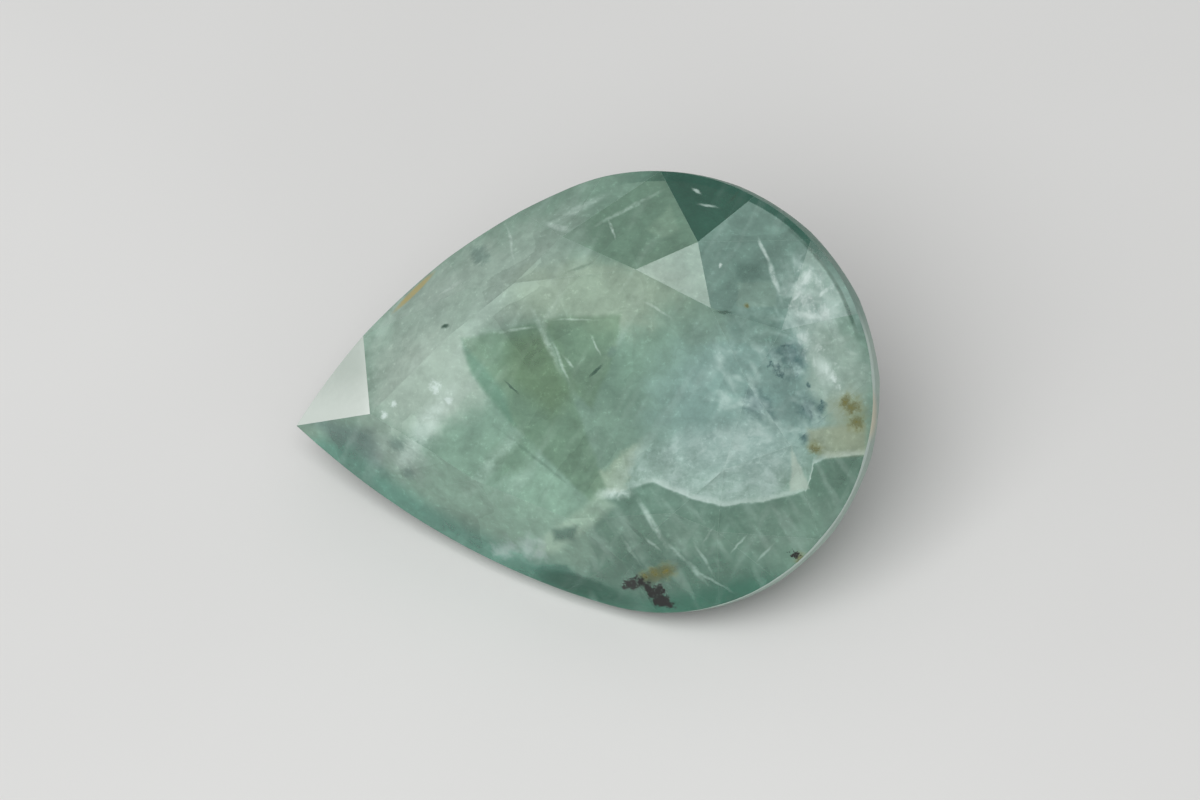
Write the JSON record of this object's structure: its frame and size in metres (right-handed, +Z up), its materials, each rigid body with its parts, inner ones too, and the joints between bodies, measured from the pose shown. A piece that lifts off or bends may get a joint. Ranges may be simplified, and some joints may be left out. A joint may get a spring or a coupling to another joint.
{
  "type": "pear-cut grandidierite gemstone",
  "caption": "Loose pear-cut gemstone in cloudy blue-green grandidierite, lying on a pavilion facet, for setting in jewellery or for display.",
  "frame": {"origin": "on the surface that the stone lies on, under the middle of its box", "axes": "+X along the stone from its tip towards its round head, +Y towards the side that the table faces away from, +Z up from the surface that it lies on"},
  "size_m": [0.0122, 0.0078, 0.0064],
  "materials": {
    "stone": "polished facets on a cloudy, see-through blue-green stone"
  },
  "bodies": {
    "root": {"stone": "stone"}
  },
  "joints": []
}
